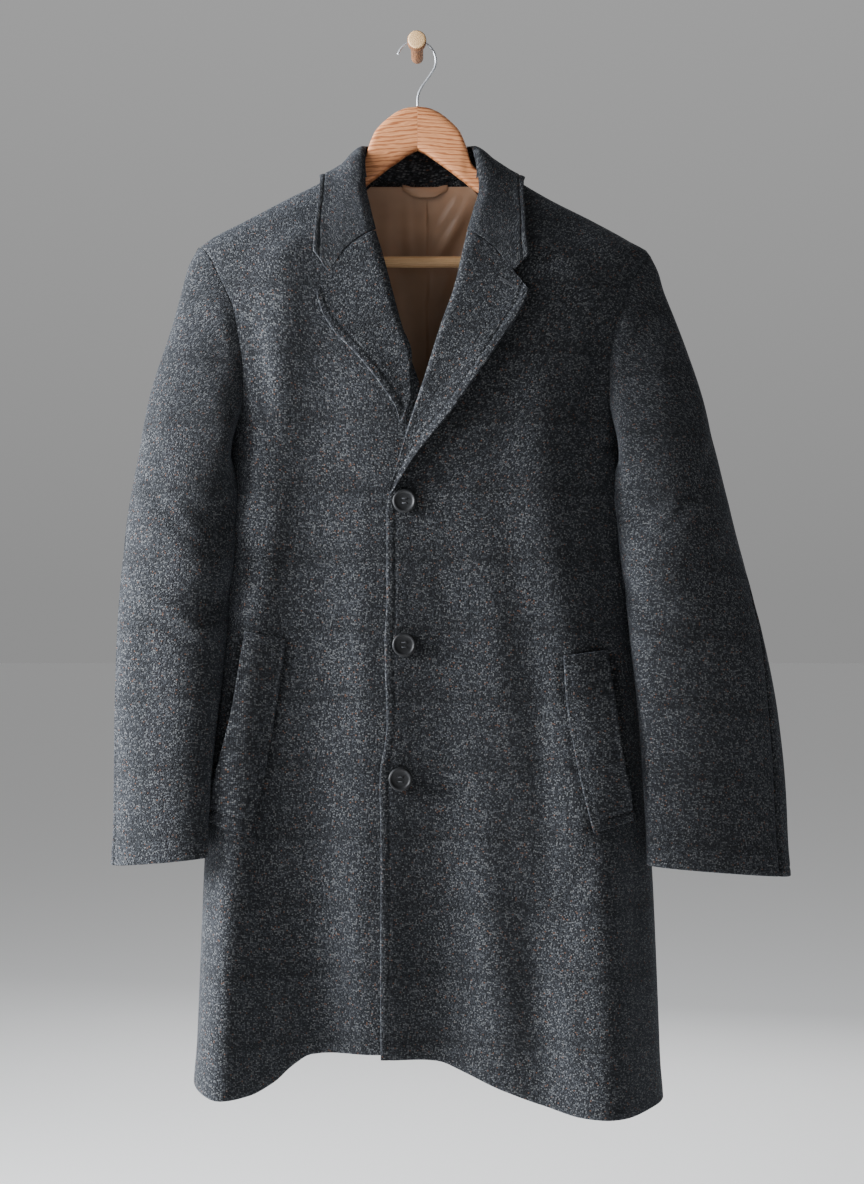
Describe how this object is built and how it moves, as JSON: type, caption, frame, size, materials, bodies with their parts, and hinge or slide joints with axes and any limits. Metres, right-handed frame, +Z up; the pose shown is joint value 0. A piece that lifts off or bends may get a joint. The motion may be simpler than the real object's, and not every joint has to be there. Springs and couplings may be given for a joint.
{
  "type": "wool overcoat on a wooden hanger and wall peg",
  "caption": "Dark tweed overcoat with notched lapels and slanted welt pockets, buttoned on a wooden hanger that hangs from a wall peg.",
  "frame": {"origin": "centre of the wall peg's flat back face, on the wall", "axes": "+Z up, +Y into the wall, +X to the viewer's right, so the coat's front faces -Y"},
  "size_m": [0.7168, 0.1388, 1.134],
  "materials": {
    "wool": "charcoal tweed with pale flecks",
    "lining": "brown satin",
    "buttons": "black, slightly worn",
    "hanger_wood": "clear satin varnish",
    "bar_wood": "plain dowel",
    "steel": "bright wire",
    "peg_wood": "waxed, pale end grain"
  },
  "bodies": {
    "root": {"front_left": "wool", "front_right": "wool", "back": "wool", "top_sleeve_left": "wool", "top_sleeve_right": "wool", "under_sleeve_left": "wool", "under_sleeve_right": "wool", "collar": "wool", "collar_stand": "wool", "lapel_left": "wool", "lapel_right": "wool", "pocket_welt_left": "wool", "pocket_welt_right": "wool", "lining_back": "lining", "hang_loop": "lining", "button_1": "buttons", "button_2": "buttons", "button_3": "buttons", "hanger_arm_left": "hanger_wood", "hanger_arm_right": "hanger_wood", "hanger_bar": "bar_wood", "hanger_hook": "steel", "wall_peg": "peg_wood"}
  },
  "joints": []
}
